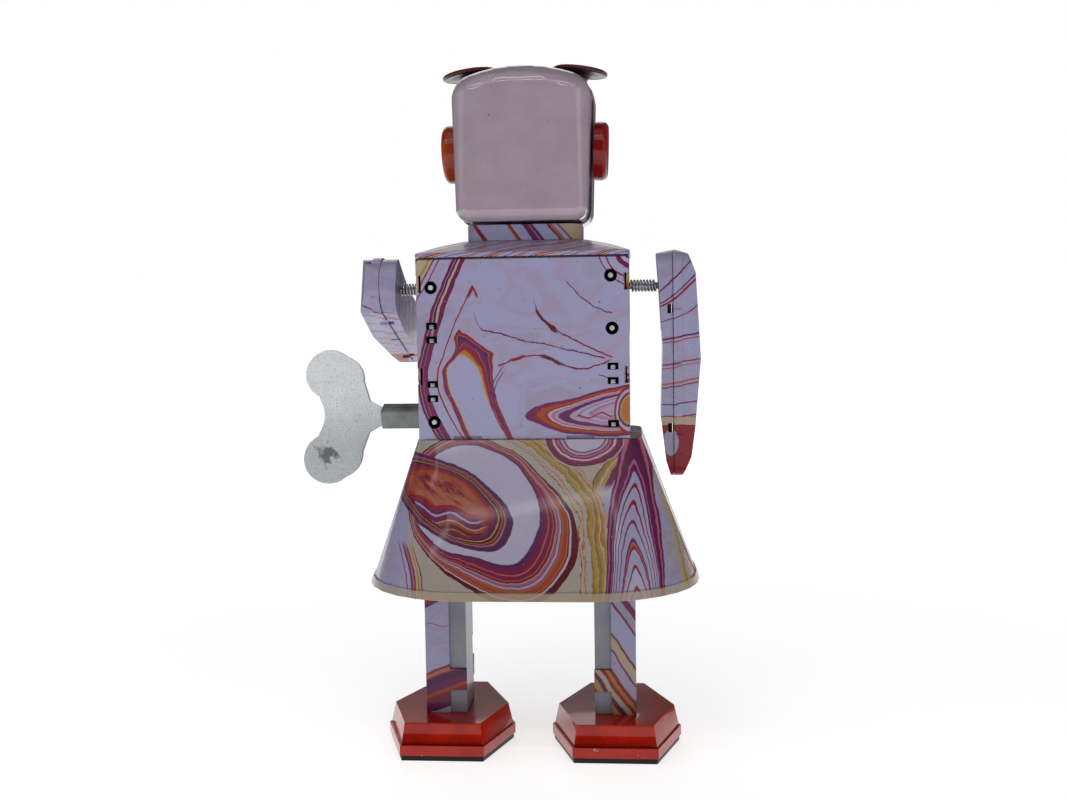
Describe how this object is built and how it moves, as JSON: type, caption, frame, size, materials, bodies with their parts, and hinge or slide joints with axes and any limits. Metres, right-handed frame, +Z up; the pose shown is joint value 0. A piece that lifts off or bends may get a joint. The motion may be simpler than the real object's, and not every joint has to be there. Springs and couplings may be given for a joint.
{
  "type": "toy robot",
  "caption": "Wind-up tin toy robot with a flared skirt, swinging legs, turning arms and a side winding key, in marbled printed tinplate.",
  "frame": {"origin": "on the floor under the soles, midway between the two feet", "axes": "+Z up; the robot faces -Y; +X is the robot's left side, where the winding key is"},
  "size_m": [0.0846, 0.0636, 0.1429],
  "materials": {
    "marbled_tin": "glossy printed tinplate, poured-paint marbling",
    "lilac_enamel": "glossy pale lilac enamel",
    "red_enamel": "glossy orange-red enamel",
    "dark_red_enamel": "glossy deep red enamel",
    "bare_tin": "dull bare tinplate",
    "key_zinc": "speckled zinc plating",
    "spring_wire": "bright spring wire",
    "steel_parts": "turned and blanked steel",
    "blued_steel": "blued spring steel",
    "brass_parts": "stamped brass",
    "black_sole": "black lacquered steel"
  },
  "bodies": {
    "robot_body": {"head_back_cap": "lilac_enamel", "head_front_shell": "lilac_enamel", "left_ear_cap": "red_enamel", "right_ear_cap": "red_enamel", "left_top_dish": "dark_red_enamel", "right_top_dish": "dark_red_enamel", "neck_collar": "marbled_tin", "torso_top_cap": "marbled_tin", "torso_back_panel": "marbled_tin", "torso_front_shell": "marbled_tin", "left_side_frame": "bare_tin", "right_side_frame": "bare_tin", "frame_pins": "bare_tin", "mounting_rods": "steel_parts", "left_motor_plate": "steel_parts", "right_motor_plate": "steel_parts", "motor_pillars": "steel_parts", "mainspring": "blued_steel", "arm_axle": "steel_parts", "left_arm_spring": "spring_wire", "right_arm_spring": "spring_wire", "skirt_back": "marbled_tin", "skirt_front": "marbled_tin", "left_hip_pin": "steel_parts", "right_hip_pin": "steel_parts"},
    "winding_key": {"winding_arbor": "steel_parts", "great_wheel": "brass_parts", "key_shaft": "key_zinc", "key_plate": "key_zinc"},
    "second_gear": {"second_arbor": "steel_parts", "second_wheel": "brass_parts"},
    "leg_cranks": {"crank_shaft": "steel_parts", "left_crank": "steel_parts", "right_crank": "steel_parts"},
    "governor": {"governor_shaft": "steel_parts", "governor_flywheel": "brass_parts"},
    "left_arm": {"left_arm_outer_shell": "marbled_tin", "left_arm_inner_cover": "marbled_tin"},
    "right_arm": {"right_arm_outer_shell": "marbled_tin", "right_arm_inner_cover": "marbled_tin"},
    "left_leg": {"left_leg_outer_shell": "marbled_tin", "left_leg_inner_channel": "bare_tin", "left_foot_shell": "red_enamel", "left_foot_sole": "black_sole"},
    "right_leg": {"right_leg_outer_shell": "marbled_tin", "right_leg_inner_channel": "bare_tin", "right_foot_shell": "red_enamel", "right_foot_sole": "black_sole"}
  },
  "joints": [
    {"name": "key_spin", "type": "hinge", "parent": "robot_body", "child": "winding_key", "pos_m": [0, 0, 0.07], "axis": [1, 0, 0], "continuous": true},
    {"name": "second_gear_spin", "type": "hinge", "parent": "robot_body", "child": "second_gear", "pos_m": [0, 0.00626, 0.05918], "axis": [1, 0, 0], "continuous": true},
    {"name": "crank_spin", "type": "hinge", "parent": "robot_body", "child": "leg_cranks", "pos_m": [0, 0.0023, 0.05], "axis": [1, 0, 0], "continuous": true},
    {"name": "governor_spin", "type": "hinge", "parent": "robot_body", "child": "governor", "pos_m": [0, -0.00321, 0.05598], "axis": [1, 0, 0], "continuous": true},
    {"name": "left_arm_swing", "type": "hinge", "parent": "robot_body", "child": "left_arm", "pos_m": [0, 0, 0.097], "axis": [-1, 0, 0], "range_deg": [-32, 243]},
    {"name": "right_arm_swing", "type": "hinge", "parent": "robot_body", "child": "right_arm", "pos_m": [0, 0, 0.097], "axis": [-1, 0, 0], "continuous": true},
    {"name": "left_leg_swing", "type": "hinge", "parent": "robot_body", "child": "left_leg", "pos_m": [0, 0.0023, 0.06], "axis": [-1, 0, 0], "range_deg": [-8, 8]},
    {"name": "right_leg_swing", "type": "hinge", "parent": "robot_body", "child": "right_leg", "pos_m": [0, 0.0023, 0.06], "axis": [-1, 0, 0], "range_deg": [-8, 8]}
  ],
  "couplings": [
    {"joint": "second_gear_spin", "follows": "key_spin", "ratio": -4},
    {"joint": "crank_spin", "follows": "key_spin", "ratio": 12},
    {"joint": "governor_spin", "follows": "key_spin", "ratio": 12},
    {"joint": "right_leg_swing", "follows": "left_leg_swing", "ratio": -1}
  ]
}
